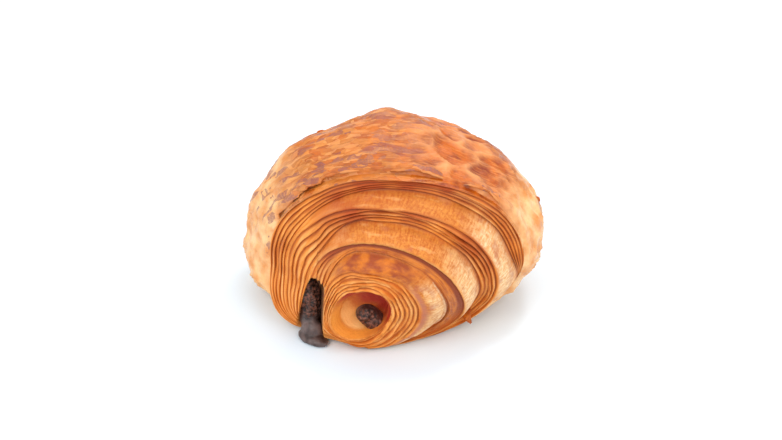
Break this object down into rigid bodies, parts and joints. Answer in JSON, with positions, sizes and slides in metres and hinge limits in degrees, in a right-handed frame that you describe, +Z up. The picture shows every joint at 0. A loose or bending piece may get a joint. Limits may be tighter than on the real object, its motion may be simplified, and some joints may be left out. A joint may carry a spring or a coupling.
{
  "type": "pain au chocolat",
  "caption": "Baked roll of laminated dough wound round dark chocolate batons, with a glazed crust and a stepped spiral at each end; it rests on a flat underside.",
  "frame": {"origin": "middle of the bounding box, on the flat underside", "axes": "+Z up; +X runs across the roll to the right, seen from the end that shows the coil; that end faces -Y and the batons lie along Y"},
  "size_m": [0.0902, 0.0818, 0.0581],
  "materials": {
    "baked_dough": "baked laminated dough, glazed golden brown on the crust and dry and pale on the inner turns",
    "dark_chocolate": "baked dark chocolate, rough where it broke, with a grey bloom where it melted and set"
  },
  "bodies": {
    "root": {"rolled_dough": "baked_dough", "chocolate_core": "dark_chocolate", "chocolate_side": "dark_chocolate"}
  },
  "joints": []
}
